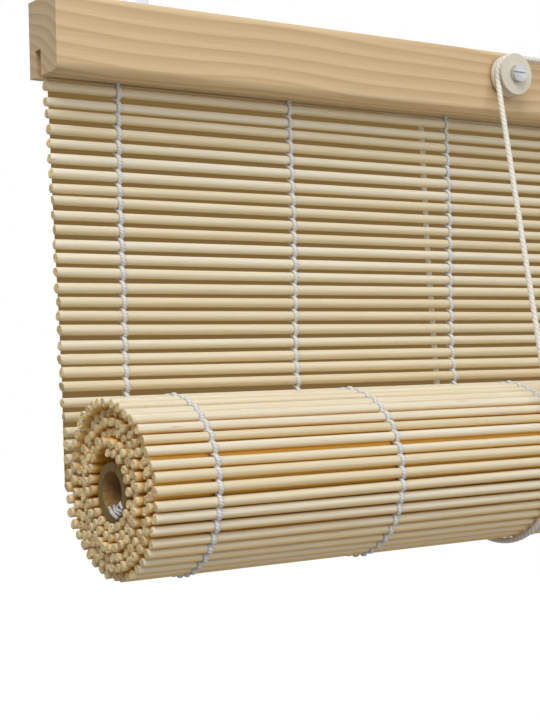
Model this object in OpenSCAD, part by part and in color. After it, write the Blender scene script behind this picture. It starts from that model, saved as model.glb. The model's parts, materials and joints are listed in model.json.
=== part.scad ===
// Roll-up bamboo blind, partly rolled: round slats bound by thread columns hang from a wooden
// head batten and wind forwards onto a cardboard core. Two lift cords pass under the roll.
// The origin is midway between the two hanging holes. +X runs along the slats, -Y faces the room.

/* [Mat] */
// Length of a slat, the width of the blind
mat_w = 580; // [500:1:900]
// Diameter of a round slat
slat_d = 3.6; // [3:0.1:5]
// Open gap between two hanging slats
hung_gap = 2; // [1.2:0.1:2.6]
// Slats from the batten down to the top of the roll
hung_count = 21; // [12:1:21]
// Slats that hang behind the roll
tail_count = 9; // [8:1:11]
// How far a hanging slat's cut end strays from the edge's line
hung_stray = 0.3; // [0:0.1:0.8]
// How far a slat's cut end strays from its turn's line in the roll
end_stray = 0.4; // [0:0.1:1.2]
// Sideways drift of the hanging edge from one slat to the next
edge_drift = 0.2; // [0:0.02:0.25]

/* [Thread] */
// Number of thread columns
column_count = 7; // [5:1:9]
// Distance from a slat's end to the first column
edge_margin = 28; // [20:0.5:40]
// Distance between the first two columns
edge_bay = 84; // [60:1:90]
// Width of a thread column along the slats
thread_w = 2.4; // [1.6:0.1:3]
// How far the thread stands off a slat
thread_t = 0.55; // [0.2:0.05:0.6]
// Thickness of the thread where it crosses a gap
link_t = 1.2; // [0.8:0.1:1.6]

/* [Roll] */
// Turns of the mat round the core, ending over its top
turns = 5.75; // [3.75:1:6.75]
// Gap between neighbouring slats in the roll's outer turn
roll_gap = 1.3; // [0.7:0.1:1.6]
// Gap between neighbouring slats in the inner turns
inner_gap = 0.8; // [0.5:0.1:1.2]
// Gap between one turn and the next
turn_gap = 0.1; // [0.1:0.05:0.4]
// Thickness of the mat's bound middle in the roll
web_t = 1; // [0.8:0.1:1.4]
// How far the roll hangs forwards of the mat
roll_forward = 3.2; // [0:0.1:6]
// Height of the last hanging slat above the roll's axis
last_rise = 3.3; // [1:0.1:5]
// How far the slats' ends are bound short in the roll
bound_inset = 11; // [9:0.5:20]

/* [Core] */
// Outer diameter of the cardboard core
core_d = 22; // [16:0.5:30]
// Wall of the core
core_wall = 3.2; // [1.6:0.1:4]
// How far the core ends inside the slats' ends
core_recess = 1.5; // [0:0.5:6]
// Thickness of the thread lashing on the core's rim
lashing_t = 1.2; // [0.8:0.1:1.6]
// How far the lashing reaches into the core
lashing_reach = 9; // [5:0.5:15]
// Arc of the rim that the lashing covers, in degrees
lashing_arc = 76; // [40:1:110]

/* [Head batten] */
// Height of the batten
batten_h = 30; // [28:1:40]
// Thickness of the batten in front of the mat
batten_t = 14; // [12:0.5:20]
// How far the batten runs past the slats at each end
batten_over = 6; // [4:0.5:15]
// Radius of the batten's front edges
batten_edge = 3; // [1:0.5:4]
// Thickness of the clamping strip behind the mat
strip_t = 5; // [4:0.5:7]
// Height of the clamping strip
strip_h = 16; // [15:0.5:18]
// Slats clamped behind the batten
clamp_count = 2; // [1:1:2]
// Height of the lowest clamped slat above the batten's lower edge
clamp_rise = 2.2; // [2:0.1:3]

/* [Hangers] */
// Distance from an end of the batten to its hanging hole
hanger_inset = 46; // [30:1:90]
// Radius of a hanging hole
hole_r = 3; // [2:0.25:4]
// Height of the hanging holes over the batten
hole_rise = 9; // [8:0.5:14]
// Width of a hanger plate
plate_w = 16; // [14:0.5:22]
// Thickness of a hanger plate
plate_t = 1.2; // [1:0.1:2]
// Gap between a hanger plate's foot and the clamping strip
foot_gap = 1; // [0.5:0.5:2]

/* [Lift gear] */
// Share of the blind's width from its middle to each rear cord run
cord_share = 0.165; // [0.14:0.005:0.18]
// Diameter of a lift cord
cord_d = 2.5; // [2:0.1:2.6]
// How far a sheave sits to the right of its rear cord run
sheave_shift = 30; // [24:0.5:36]
// Radius at the bottom of a sheave's groove
groove_r = 7; // [6.5:0.1:7.2]
// Outer radius of a sheave
flange_r = 9.5; // [9:0.1:9.8]
// Width of a sheave
sheave_w = 7; // [6.6:0.1:7.4]
// Radius of the shoulder that a sheave turns on
shoulder_r = 2; // [1.6:0.1:2.6]
// Length of the cord lock's housing
lock_w = 30; // [24:0.5:34]
// Height of the cord lock's housing
lock_h = 22; // [20:0.5:24]

/* [Hidden] */
$fn = 48;
fit_gap = 0.05;
seat_gap = 0.15;
play = 0.2;
slat_r = slat_d / 2;
hung_pitch = slat_d + hung_gap;
roll_pitch = slat_d + roll_gap;
inner_pitch = slat_d + inner_gap;
turn_step = slat_d + turn_gap;
bound_r = slat_r + thread_t;
end_ease = 0.05;
end_root = 1;
cut_past = 1;

// Levels from back to front
pocket_t = 2 * (bound_r + seat_gap);
back_y = -plate_t / 2;
strip_y = back_y - strip_t;
mat_y = strip_y - pocket_t / 2;
pocket_y = strip_y - pocket_t;
front_y = pocket_y - batten_t;

// Levels from top to bottom
batten_top = -hole_rise;
batten_low = batten_top - batten_h;
top_slat_z = batten_low + clamp_rise + (clamp_count - 1) * hung_pitch;
pocket_h = clamp_rise + (clamp_count - 1) * hung_pitch + bound_r + seat_gap;
split_z = top_slat_z - (hung_count - 0.5) * hung_pitch;
split_gap = 0.03;
tail_end_z = top_slat_z - (hung_count + tail_count - 1) * hung_pitch;
axis_z = tail_end_z - last_rise;

// The roll's spiral, wound inwards from its back by way of its underside
core_r = core_d / 2;
roll_r = core_r + seat_gap + slat_r + turns * turn_step;
axis_y = mat_y - roll_forward - roll_r;
first_turn_a = (roll_pitch - last_rise) / roll_r * 180 / PI;
function spiral_r(a) = roll_r - turn_step * a / 360;
function spiral_at(a) = [axis_y + spiral_r(a) * cos(a), axis_z - spiral_r(a) * sin(a)];
function next_a(a) = a + (a < 360 ? roll_pitch : inner_pitch) / spiral_r(a) * 180 / PI;
roll_angles = [for (a = first_turn_a; a < 360 * turns; a = next_a(a)) a];
roll_spots = [for (a = roll_angles) spiral_at(a)];
shown_turn_a = 330;
outer_spots = [for (a = roll_angles) if (a < shown_turn_a) [a, spiral_at(a)]];

// The core lies on the underside of the innermost turn
core_drop = turn_step * 0.45;
core_z = axis_z - core_drop;

// Slats that hang: straight down from the batten, then easing forwards to the roll
function ease(t) = t * t * (3 - 2 * t);
hung_spots = [for (k = [0 : hung_count - 1]) [mat_y, top_slat_z - k * hung_pitch]];
tail_spots = [
    for (k = [1 : tail_count])
        [mat_y - roll_forward * ease(k / tail_count), top_slat_z - (hung_count + k - 1) * hung_pitch]
];

// Sideways places of the slats' ends
drift_end = 19;
stray_steps = [137.5, 40];
far_end_skip = 7;
function stray(k) = sin(stray_steps[0] * k * k + stray_steps[1] * k);
function hung_shift(k) = edge_drift * min(k - drift_end, 0);

// Hand-chosen slides of the turns along the core: one row for each turn, with its back, underside,
// front and top
turn_slides = [
    [-0.4, 2.8, 1.4, -1], [0.9, 0.4, 0.8, 1.3], [1.6, 0, 1.8, 0.6],
    [1.4, -0.6, -0.4, 2.2], [0.2, 0.3, 1.5, -1], [0.6, 1, 0.5, -0.6]
];
quarter_slides = [for (n = [0 : len(turn_slides) - 1], c = [0 : 3]) [4 * n + c, turn_slides[n][c]]];
function roll_shift(a) = lookup(a / 90, quarter_slides);

// Places of the thread columns along the slats
inner_bay = (mat_w - 2 * (edge_margin + edge_bay)) / (column_count - 3);
function column_x(n) =
    n == 0 ? -mat_w / 2 + edge_margin
    : n == column_count - 1 ? mat_w / 2 - edge_margin
    : -mat_w / 2 + edge_margin + edge_bay + (n - 1) * inner_bay;

// Screws
screw_r = 1.5;
screw_head_r = 2.5;
screw_head_h = 1.2;
screw_len = 11;
bore_r = screw_r + fit_gap;
bore_spare = 0.5;
hanger_span = mat_w + 2 * (batten_over - hanger_inset);
strip_screw_count = 4;
strip_screw_z = batten_low + pocket_h + (strip_h - pocket_h) / 2;
plate_foot = batten_h - strip_h - foot_gap;
plate_screw_x = plate_w / 4;
plate_screw_z = batten_top - plate_foot / 2;

// Sheaves on shoulder screws, one higher than the other so that the cords clear
washer_t = 1;
washer_r = 4.5;
stud_head_r = 4;
stud_head_h = 2.4;
stud_slot = 1;
stud_len = screw_len - 1;
lip_t = 0.9;
groove_pinch = 0.25;
sheave_mid_z = batten_low + batten_h / 2;
sheave_step = 3;
cord_r = cord_d / 2;
cord_clear = 0.3;
wrap_r = groove_r + cord_r + cord_clear;
shoulder_len = sheave_w + 2 * play;
cord_x = mat_w * cord_share;
cord_plane_y = front_y - washer_t - shoulder_len / 2;
left_sheave_x = -cord_x + sheave_shift;
right_sheave_x = cord_x + sheave_shift;
left_sheave_z = sheave_mid_z + sheave_step;
right_sheave_z = sheave_mid_z - sheave_step;

// Cord lock
lock_t = 13;
lock_edge = 3;
lock_inset = 25;
lock_drop = 1;
lock_x = mat_w / 2 - lock_inset - lock_w;
lock_z = sheave_mid_z + wrap_r - lock_drop;
inlet_depth = 8;
inlet_r = cord_r + cord_clear;
outlet_step = 6;

// Saddles that hold the cords' rear ends on the clamping strip
saddle_wall = 1;
saddle_h = 5;
saddle_ear = 4;
saddle_rise = 7;
saddle_z = batten_low + saddle_rise;
cord_seat = cord_r + cord_clear / 2;

// Hand-chosen points of a lift cord's knot over its saddle, then through the saddle: distances
// behind the batten's rear face and heights over the saddle's middle
cord_top = [
    [3, 12.2], [3, 10.2], [3, 7.7], [2.7, 5.8],
    [cord_seat, saddle_h / 2 + 0.8], [cord_seat, -saddle_h / 2 - 0.2], [cord_seat, -saddle_h / 2 - 6.5]
];
knot_radii = [1, 2, 2.1, 1.7];

// Hand-chosen points of its way down to the roll: distances behind the mat's middle and shares
// of the height between the roll's axis and the saddle
cord_run = [[7.2, 0.606], [3.6, 0.273], [1.2, 0.085]];
cord_wrap_a = [0 : 10 : 190];
cord_over_a = [180 : -15 : 90];
cord_lead = 6;

// Middle of the lashing's arc on the core's rim, counted from the back by way of the underside
lashing_middle_a = 105;

bamboo = [0.93, 0.85, 0.68];
timber = [0.84, 0.70, 0.48];
card = [0.47, 0.40, 0.30];
cotton = [0.92, 0.91, 0.90];
steel = [0.75, 0.75, 0.76];
ivory = [0.88, 0.85, 0.77];

// Turns a flat outline in Y and Z into a bar along X
module along_x(x0, x1) {
    translate([x0, 0, 0]) rotate([90, 0, 90]) linear_extrude(x1 - x0) children();
}

module rod_x(spot, x0, x1, r) {
    translate([x0, spot[0], spot[1]]) rotate([0, 90, 0]) cylinder(r = r, h = x1 - x0);
}

module rod_y(x, z, y0, y1, r) {
    translate([x, y1, z]) rotate([90, 0, 0]) cylinder(r = r, h = y1 - y0);
}

// A slat with its own sideways shift and stray ends
module slat(spot, shift, seed) {
    near = -mat_w / 2 + shift + hung_stray * stray(seed);
    far = mat_w / 2 + shift + hung_stray * stray(seed + far_end_skip);
    rod_x(spot, near, far, slat_r);
}

// A flat band of even thickness along a line of points
function side_step(pts, i, t) =
    let (
        p = pts[max(i - 1, 0)],
        q = pts[min(i + 1, len(pts) - 1)],
        d = (q - p) / norm(q - p)
    )
    pts[i] + [-d[1], d[0]] * t;

module ribbon(pts, t) {
    ahead = [for (i = [0 : len(pts) - 1]) side_step(pts, i, t / 2)];
    back = [for (i = [len(pts) - 1 : -1 : 0]) side_step(pts, i, -t / 2)];
    polygon(concat(ahead, back));
}

// Thread round a row of hanging slats, with the link that crosses each gap
module bound_column(spots, link) {
    for (s = spots) translate(s) circle(r = bound_r);
    ribbon(link, link_t);
}

module hung_mat() {
    color(bamboo) {
        for (k = [0 : hung_count - 1]) slat(hung_spots[k], hung_shift(k), k);
        for (n = [0 : column_count - 1])
            along_x(column_x(n) - thread_w / 2, column_x(n) + thread_w / 2)
                bound_column(hung_spots, [hung_spots[0], [mat_y, split_z + split_gap]]);
    }
}

// One turn after another as ridges on a bound wall, with the slats' ends free
module roll_section() {
    for (s = roll_spots) translate(s) circle(r = slat_r);
    ribbon(roll_spots, web_t);
}

module roll_thread_section() {
    bound_column(tail_spots, concat([[mat_y, split_z - split_gap]], tail_spots, [roll_spots[0]]));
    for (s = outer_spots)
        translate(s[1] + [cos(s[0]), -sin(s[0])] * (thread_t + end_ease)) circle(r = slat_r - end_ease);
}

module roll_slat_ends() {
    bound_x = mat_w / 2 - bound_inset - end_root;
    for (k = [0 : len(roll_spots) - 1]) {
        near = roll_shift(roll_angles[k]) + end_stray * stray(k);
        far = roll_shift(roll_angles[k]) + end_stray * stray(k + far_end_skip);
        rod_x(roll_spots[k], near - mat_w / 2, -bound_x, slat_r - end_ease);
        rod_x(roll_spots[k], bound_x, far + mat_w / 2, slat_r - end_ease);
    }
}

module roll_mat() {
    color(bamboo) {
        along_x(bound_inset - mat_w / 2, mat_w / 2 - bound_inset) roll_section();
        roll_slat_ends();
        for (k = [0 : tail_count - 1])
            slat(tail_spots[k], hung_shift(hung_count + k), hung_count + k);
        for (n = [0 : column_count - 1])
            along_x(column_x(n) - thread_w / 2, column_x(n) + thread_w / 2) roll_thread_section();
    }
}

module core_tube() {
    half = mat_w / 2 - core_recess;
    color(card) difference() {
        rod_x([axis_y, core_z], -half, half, core_r);
        rod_x([axis_y, core_z], -half - cut_past, half + cut_past, core_r - core_wall);
    }
}

// Thread that lashes the mat to the core, laid over the rim into the bore
module lashing(side) {
    seat_r = core_r - core_wall - fit_gap;
    inner_r = seat_r - lashing_t;
    rim_x = mat_w / 2 - core_recess + fit_gap;
    deep_x = rim_x - lashing_reach;
    color(cotton)
        translate([0, axis_y, core_z])
            mirror([side < 0 ? 1 : 0, 0, 0])
                rotate([90, 0, 90])
                    rotate([0, 0, -lashing_middle_a - lashing_arc / 2])
                        rotate_extrude(angle = lashing_arc)
                            polygon([
                                [inner_r, deep_x], [seat_r, deep_x], [seat_r, rim_x], [core_r, rim_x],
                                [core_r, rim_x + lashing_t], [inner_r, rim_x + lashing_t]
                            ]);
}
module lashing_left() { lashing(-1); }
module lashing_right() { lashing(1); }

// Section of the batten: rounded in front, stepped behind for the mat and the clamping strip
module batten_section() {
    e = batten_edge;
    polygon([
        [front_y + e, batten_low], [pocket_y, batten_low], [pocket_y, batten_low + pocket_h],
        [strip_y, batten_low + pocket_h], [strip_y, batten_low + strip_h],
        [back_y, batten_low + strip_h], [back_y, batten_top], [front_y + e, batten_top],
        [front_y + e, batten_top - e], [front_y, batten_top - e], [front_y, batten_low + e],
        [front_y + e, batten_low + e]
    ]);
    translate([front_y + e, batten_top - e]) circle(r = e);
    translate([front_y + e, batten_low + e]) circle(r = e);
}

function strip_screw_x(n) = hanger_span * (n / (strip_screw_count - 1) - 1 / 2);
plate_screws = [for (side = [-1, 1], step = [-1, 1]) side * hanger_span / 2 + step * plate_screw_x];

module head_batten() {
    half = mat_w / 2 + batten_over;
    strip_bore_y = back_y - screw_len - bore_spare;
    plate_bore_y = plate_t / 2 - screw_len - bore_spare;
    stud_bore_y = front_y + stud_len + bore_spare;
    color(timber) difference() {
        along_x(-half, half) batten_section();
        for (n = [0 : strip_screw_count - 1])
            rod_y(strip_screw_x(n), strip_screw_z, strip_bore_y, strip_y + cut_past, bore_r);
        for (x = plate_screws) rod_y(x, plate_screw_z, plate_bore_y, back_y + cut_past, bore_r);
        rod_y(left_sheave_x, left_sheave_z, front_y - cut_past, stud_bore_y, bore_r);
        rod_y(right_sheave_x, right_sheave_z, front_y - cut_past, stud_bore_y, bore_r);
    }
}

module clamp_strip() {
    half = mat_w / 2 + batten_over;
    color(timber) difference() {
        along_x(-half, half)
            translate([strip_y, batten_low]) square([strip_t, strip_h]);
        for (n = [0 : strip_screw_count - 1])
            rod_y(strip_screw_x(n), strip_screw_z, strip_y - cut_past, back_y + cut_past, bore_r);
    }
}

module hanger(side) {
    x = side * hanger_span / 2;
    foot_z = batten_top - plate_foot;
    color(steel)
        translate([x, plate_t / 2, 0]) rotate([90, 0, 0]) linear_extrude(plate_t) difference() {
            union() {
                circle(r = plate_w / 2);
                translate([-plate_w / 2, foot_z]) square([plate_w, -foot_z]);
            }
            circle(r = hole_r);
            for (step = [-1, 1]) translate([step * plate_screw_x, plate_screw_z]) circle(r = bore_r);
        }
}
module hanger_left() { hanger(-1); }
module hanger_right() { hanger(1); }

// Round-headed wood screw driven forwards from a rear face
module rear_screw(x, z, seat_y, depth) {
    rod_y(x, z, seat_y - depth, seat_y + fit_gap, screw_r);
    rod_y(x, z, seat_y + fit_gap, seat_y + fit_gap + screw_head_h, screw_head_r);
}

module hanger_screws() {
    color(steel)
        for (x = plate_screws) rear_screw(x, plate_screw_z, plate_t / 2, screw_len);
}

module strip_screws() {
    color(steel)
        for (n = [0 : strip_screw_count - 1])
            rear_screw(strip_screw_x(n), strip_screw_z, back_y, screw_len);
}

// Grooved sheave that turns about Y
module sheave(x, z) {
    groove_half = cord_r - groove_pinch;
    lip_half = sheave_w / 2 - lip_t;
    color(ivory)
        translate([x, cord_plane_y, z]) rotate([90, 0, 0]) rotate_extrude()
            polygon([
                [shoulder_r + fit_gap, -sheave_w / 2], [flange_r, -sheave_w / 2],
                [flange_r, -lip_half], [groove_r, -groove_half],
                [groove_r, groove_half], [flange_r, lip_half],
                [flange_r, sheave_w / 2], [shoulder_r + fit_gap, sheave_w / 2]
            ]);
}
module sheave_left() { sheave(left_sheave_x, left_sheave_z); }
module sheave_right() { sheave(right_sheave_x, right_sheave_z); }

// Shoulder screw with a slotted head that a sheave turns on
module sheave_stud(x, z) {
    shoulder_y = front_y - washer_t;
    head_y = shoulder_y - shoulder_len;
    color(steel) difference() {
        union() {
            rod_y(x, z, shoulder_y - end_root, front_y + stud_len, screw_r);
            rod_y(x, z, head_y, shoulder_y, shoulder_r);
            rod_y(x, z, head_y - stud_head_h, head_y, stud_head_r);
        }
        translate([x - stud_head_r - cut_past, head_y - stud_head_h - cut_past, z - stud_slot / 2])
            cube([2 * (stud_head_r + cut_past), stud_slot + cut_past, stud_slot]);
    }
}
module sheave_stud_left() { sheave_stud(left_sheave_x, left_sheave_z); }
module sheave_stud_right() { sheave_stud(right_sheave_x, right_sheave_z); }

module washer(x, z) {
    difference() {
        rod_y(x, z, front_y - washer_t, front_y, washer_r);
        rod_y(x, z, front_y - washer_t - cut_past, front_y + cut_past, bore_r);
    }
}

module sheave_washers() {
    color(steel) {
        washer(left_sheave_x, left_sheave_z);
        washer(right_sheave_x, right_sheave_z);
    }
}

// Housing that both cords run into, with their way out underneath
module cord_lock() {
    cord_levels = [left_sheave_z + wrap_r, right_sheave_z + wrap_r];
    lock_low = lock_z - lock_h / 2;
    color(ivory) difference() {
        translate([lock_x, front_y, lock_low]) rotate([90, 0, 0]) linear_extrude(lock_t) {
            translate([0, lock_edge]) square([lock_w, lock_h - 2 * lock_edge]);
            translate([lock_edge, 0]) square([lock_w - 2 * lock_edge, lock_h]);
            for (x = [lock_edge, lock_w - lock_edge], z = [lock_edge, lock_h - lock_edge])
                translate([x, z]) circle(r = lock_edge);
        }
        for (z = cord_levels) rod_x([cord_plane_y, z], lock_x - cut_past, lock_x + inlet_depth, inlet_r);
        for (side = [-1, 1])
            translate([lock_x + (lock_w + side * outlet_step) / 2, cord_plane_y, lock_low - cut_past])
                cylinder(r = inlet_r, h = inlet_depth + cut_past);
    }
}

// Arched saddle with two ears, flat on the clamping strip
module cord_saddle(x) {
    arch_r = cord_seat;
    ear_x = arch_r + saddle_ear;
    color(steel)
        translate([x, back_y, saddle_z - saddle_h / 2]) linear_extrude(saddle_h) difference() {
            union() {
                translate([0, arch_r]) circle(r = arch_r + saddle_wall);
                translate([-arch_r - saddle_wall, 0]) square([2 * (arch_r + saddle_wall), arch_r]);
                translate([-ear_x, 0]) square([2 * ear_x, saddle_wall]);
            }
            translate([0, arch_r]) circle(r = arch_r);
            translate([-arch_r, -cut_past]) square([2 * arch_r, arch_r + cut_past]);
            translate([-ear_x, -ear_x]) square([2 * ear_x, ear_x]);
        }
}
module cord_saddle_left() { cord_saddle(-cord_x); }
module cord_saddle_right() { cord_saddle(cord_x); }

// Sweeps an eight-sided tube along a line of points, with a radius for each
cord_sides = 8;
function ring(pts, i, r) =
    let (
        p = pts[max(i - 1, 0)],
        q = pts[min(i + 1, len(pts) - 1)],
        t = (q - p) / norm(q - p),
        lean = [1, 1, 0],
        u0 = lean - (lean * t) * t,
        u = u0 / norm(u0),
        v = cross(t, u)
    )
    [
        for (s = [0 : cord_sides - 1])
            let (a = 360 * s / cord_sides)
            pts[i] + r * (u * cos(a) + v * sin(a))
    ];

module cord_tube(pts, radii) {
    n = len(pts);
    rings = [for (i = [0 : n - 1]) each ring(pts, i, radii[i])];
    walls = [
        for (i = [0 : n - 2], s = [0 : cord_sides - 1])
            let (a = i * cord_sides, b = a + cord_sides, s2 = (s + 1) % cord_sides)
            [a + s, a + s2, b + s2, b + s]
    ];
    near = [for (s = [cord_sides - 1 : -1 : 0]) s];
    far = [for (s = [0 : cord_sides - 1]) (n - 1) * cord_sides + s];
    polyhedron(rings, concat([near], walls, [far]));
}

// Rear knot, down behind the mat, under the roll, up to the sheave and along to the cord lock
module lift_cord(x, sheave_x, sheave_z) {
    top = [for (p = cord_top) [x, back_y + p[0], saddle_z + p[1]]];
    run = [for (p = cord_run) [x, mat_y + p[0], axis_z + p[1] * (saddle_z - axis_z)]];
    wrap = [
        for (a = cord_wrap_a)
            let (r = spiral_r(a) + slat_r + cord_r + cord_clear)
            [x, axis_y + r * cos(a), axis_z - r * sin(a)]
    ];
    over = [
        for (a = cord_over_a)
            [sheave_x + wrap_r * cos(a), cord_plane_y, sheave_z + wrap_r * sin(a)]
    ];
    rise = [sheave_x - wrap_r, cord_plane_y, sheave_z - cord_lead];
    last = [lock_x + inlet_depth - cut_past, cord_plane_y, sheave_z + wrap_r];
    pts = concat(top, run, wrap, [rise], over, [last]);
    radii = [for (i = [0 : len(pts) - 1]) i < len(knot_radii) ? cord_r * knot_radii[i] : cord_r];
    color(cotton) cord_tube(pts, radii);
}
module lift_cord_left() { lift_cord(-cord_x, left_sheave_x, left_sheave_z); }
module lift_cord_right() { lift_cord(cord_x, right_sheave_x, right_sheave_z); }

head_batten();
clamp_strip();
hung_mat();
roll_mat();
core_tube();
lashing_left();
lashing_right();
hanger_left();
hanger_right();
hanger_screws();
strip_screws();
sheave_left();
sheave_right();
sheave_stud_left();
sheave_stud_right();
sheave_washers();
cord_lock();
cord_saddle_left();
cord_saddle_right();
lift_cord_left();
lift_cord_right();
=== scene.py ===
"""Roll-up bamboo blind: slats, threads, lashings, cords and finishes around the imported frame.

Sizes are in millimetres in the blind's own frame: the origin is midway between the hanging
holes, +X runs along the slats, -Y faces the room and +Z is up. Meshes are written in metres.
"""

from __future__ import annotations

import json
import logging
from dataclasses import dataclass, field
from enum import Enum
from typing import ClassVar

import bpy
import numpy as np
from bpy.types import ID, Material, Node, NodeSocket, NodeTree, Object
from mathutils import Matrix

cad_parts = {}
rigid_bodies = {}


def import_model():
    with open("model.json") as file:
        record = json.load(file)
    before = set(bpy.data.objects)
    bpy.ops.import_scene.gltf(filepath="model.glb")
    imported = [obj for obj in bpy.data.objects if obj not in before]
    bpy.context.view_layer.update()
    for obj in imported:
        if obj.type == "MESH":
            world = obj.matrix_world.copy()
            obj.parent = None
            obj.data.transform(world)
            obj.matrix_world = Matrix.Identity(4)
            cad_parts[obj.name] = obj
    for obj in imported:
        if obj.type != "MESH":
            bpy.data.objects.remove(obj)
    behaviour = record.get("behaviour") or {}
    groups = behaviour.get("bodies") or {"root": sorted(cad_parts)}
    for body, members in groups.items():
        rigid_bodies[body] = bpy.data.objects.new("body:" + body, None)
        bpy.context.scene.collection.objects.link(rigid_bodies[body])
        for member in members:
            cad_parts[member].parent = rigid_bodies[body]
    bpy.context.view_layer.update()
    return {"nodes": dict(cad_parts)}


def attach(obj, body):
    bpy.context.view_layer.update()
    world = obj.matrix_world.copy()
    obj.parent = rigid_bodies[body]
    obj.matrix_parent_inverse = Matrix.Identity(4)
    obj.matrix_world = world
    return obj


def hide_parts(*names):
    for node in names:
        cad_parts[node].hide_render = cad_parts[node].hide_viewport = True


Colour = tuple[float, float, float]
Pair = tuple[float, float]
Triple = tuple[float, float, float]

LOG = logging.getLogger("blind")
MM = 0.001
FULL_TURN = 2 * np.pi
PHOTO_HEIGHT = 720
SENSOR = 36.0
CARRIER = "blind"
WHITE: Colour = (1.0, 1.0, 1.0)


class Slot(Enum):
    """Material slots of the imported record."""

    BAMBOO = "bamboo"
    TIMBER = "timber"
    CARD = "card"
    COTTON = "cotton"
    STEEL = "steel"
    IVORY = "ivory"


class Side(Enum):
    """Ends of the blind, as the sign of X."""

    LEFT = -1
    RIGHT = 1


# Cord lengths in metres, along the routes
CORD_LENGTHS: dict[Side, float] = {Side.LEFT: 0.798, Side.RIGHT: 0.601}


@dataclass(frozen=True)
class Core:
    """The cardboard core: its middle line, outer radius, radius just inside its bore, half length."""

    axis_y: float = -45.525
    axis_z: float = -198.565
    outer_r: float = 11.0
    bore_r: float = 7.75
    rim_x: float = 288.5


# Mesh building


@dataclass
class Shell:
    """Mesh data of one piece.

    Attributes:
        points: Corners in millimetres, one row each.
        quads: Corner numbers of the four-sided faces, shaded smooth.
        fans: Corner numbers of the three-sided faces, shaded flat.
        values: Number per corner, by attribute name.
        vectors: Three numbers per corner, by attribute name.
    """

    points: np.ndarray
    quads: np.ndarray
    fans: np.ndarray
    values: dict[str, np.ndarray] = field(default_factory=dict)
    vectors: dict[str, np.ndarray] = field(default_factory=dict)

    @staticmethod
    def joined(shells: list[Shell]) -> Shell:
        """Joins shells that carry the same values into one.

        Args:
            shells: Shells to join, with no vectors.

        Returns:
            The joined shell.
        """
        starts = np.cumsum([0] + [len(shell.points) for shell in shells[:-1]])
        return Shell(
            np.concatenate([shell.points for shell in shells]),
            np.concatenate([shell.quads + start for shell, start in zip(shells, starts)]),
            np.concatenate([shell.fans + start for shell, start in zip(shells, starts)]),
            values={label: np.concatenate([shell.values[label] for shell in shells])
                    for label in shells[0].values})

    def piece(self, name: str, material: Material) -> Object:
        """Writes the shell into a new object at the origin.

        Args:
            name: Name of the piece.
            material: Finish of the piece.

        Returns:
            The linked object.
        """
        mesh = bpy.data.meshes.new(name)
        mesh.vertices.add(len(self.points))
        mesh.vertices.foreach_set("co", (self.points * MM).astype(np.float32).ravel())
        corners = np.concatenate([self.quads.ravel(), self.fans.ravel()]).astype(np.int32)
        starts = np.concatenate([
            np.arange(len(self.quads)) * 4,
            len(self.quads) * 4 + np.arange(len(self.fans)) * 3,
        ]).astype(np.int32)
        mesh.loops.add(len(corners))
        mesh.loops.foreach_set("vertex_index", corners)
        mesh.polygons.add(len(starts))
        mesh.polygons.foreach_set("loop_start", starts)
        mesh.polygons.foreach_set("use_smooth", np.arange(len(starts)) < len(self.quads))
        mesh.update(calc_edges=True)
        mesh.validate()
        for kind, key, table in (("FLOAT", "value", self.values),
                                 ("FLOAT_VECTOR", "vector", self.vectors)):
            for label, numbers in table.items():
                layer = mesh.attributes.new(label, kind, "POINT")
                layer.data.foreach_set(key, numbers.astype(np.float32).ravel())
        mesh.materials.append(material)
        obj = bpy.data.objects.new(name, mesh)
        bpy.context.scene.collection.objects.link(obj)
        return obj


def rows(x: np.ndarray | float, y: np.ndarray | float, z: np.ndarray | float) -> np.ndarray:
    """XYZ along a new last axis, from arrays or numbers that broadcast together."""
    return np.stack(np.broadcast_arrays(x, y, z), axis=-1)


def unit(vectors: np.ndarray) -> np.ndarray:
    """Vectors along the last axis, scaled to length 1."""
    return vectors / np.linalg.norm(vectors, axis=-1, keepdims=True)


def ramp(value: np.ndarray, start: float, length: float) -> np.ndarray:
    """Rises from 0 at a start to 1 a length later, and holds the ends."""
    return np.clip((value - start) / length, 0.0, 1.0)


def circle(sides: int) -> np.ndarray:
    """Angles of a circle's corners."""
    return np.arange(sides) * FULL_TURN / sides


def tube_faces(count: int, rings: int, sides: int) -> tuple[np.ndarray, np.ndarray]:
    """Numbers the faces of equal closed tubes.

    Corners come ring by ring and tube by tube, then two end middles for each tube. A wall face
    joins a side of one ring to the same side of the next, and a fan closes each end.

    Args:
        count: Number of tubes.
        rings: Rings of each tube.
        sides: Corners of each ring.

    Returns:
        The wall quads and the end triangles.
    """
    tube = np.arange(count)[:, None] * rings * sides
    ring = np.arange(rings - 1)[:, None] * sides
    here = np.arange(sides)
    there = (here + 1) % sides
    a, b = tube[:, None] + ring + here, tube[:, None] + ring + there
    quads = np.stack([a, b, b + sides, a + sides], axis=-1).reshape(-1, 4)
    middles = count * rings * sides + np.arange(count)[:, None] * 2 + np.zeros((1, sides), int)
    near_a, near_b = tube + here, tube + there
    last = (rings - 1) * sides
    near = np.stack([middles, near_b, near_a], axis=-1).reshape(-1, 3)
    far = np.stack([middles + 1, near_a + last, near_b + last], axis=-1).reshape(-1, 3)
    return quads, np.concatenate([near, far])


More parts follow.
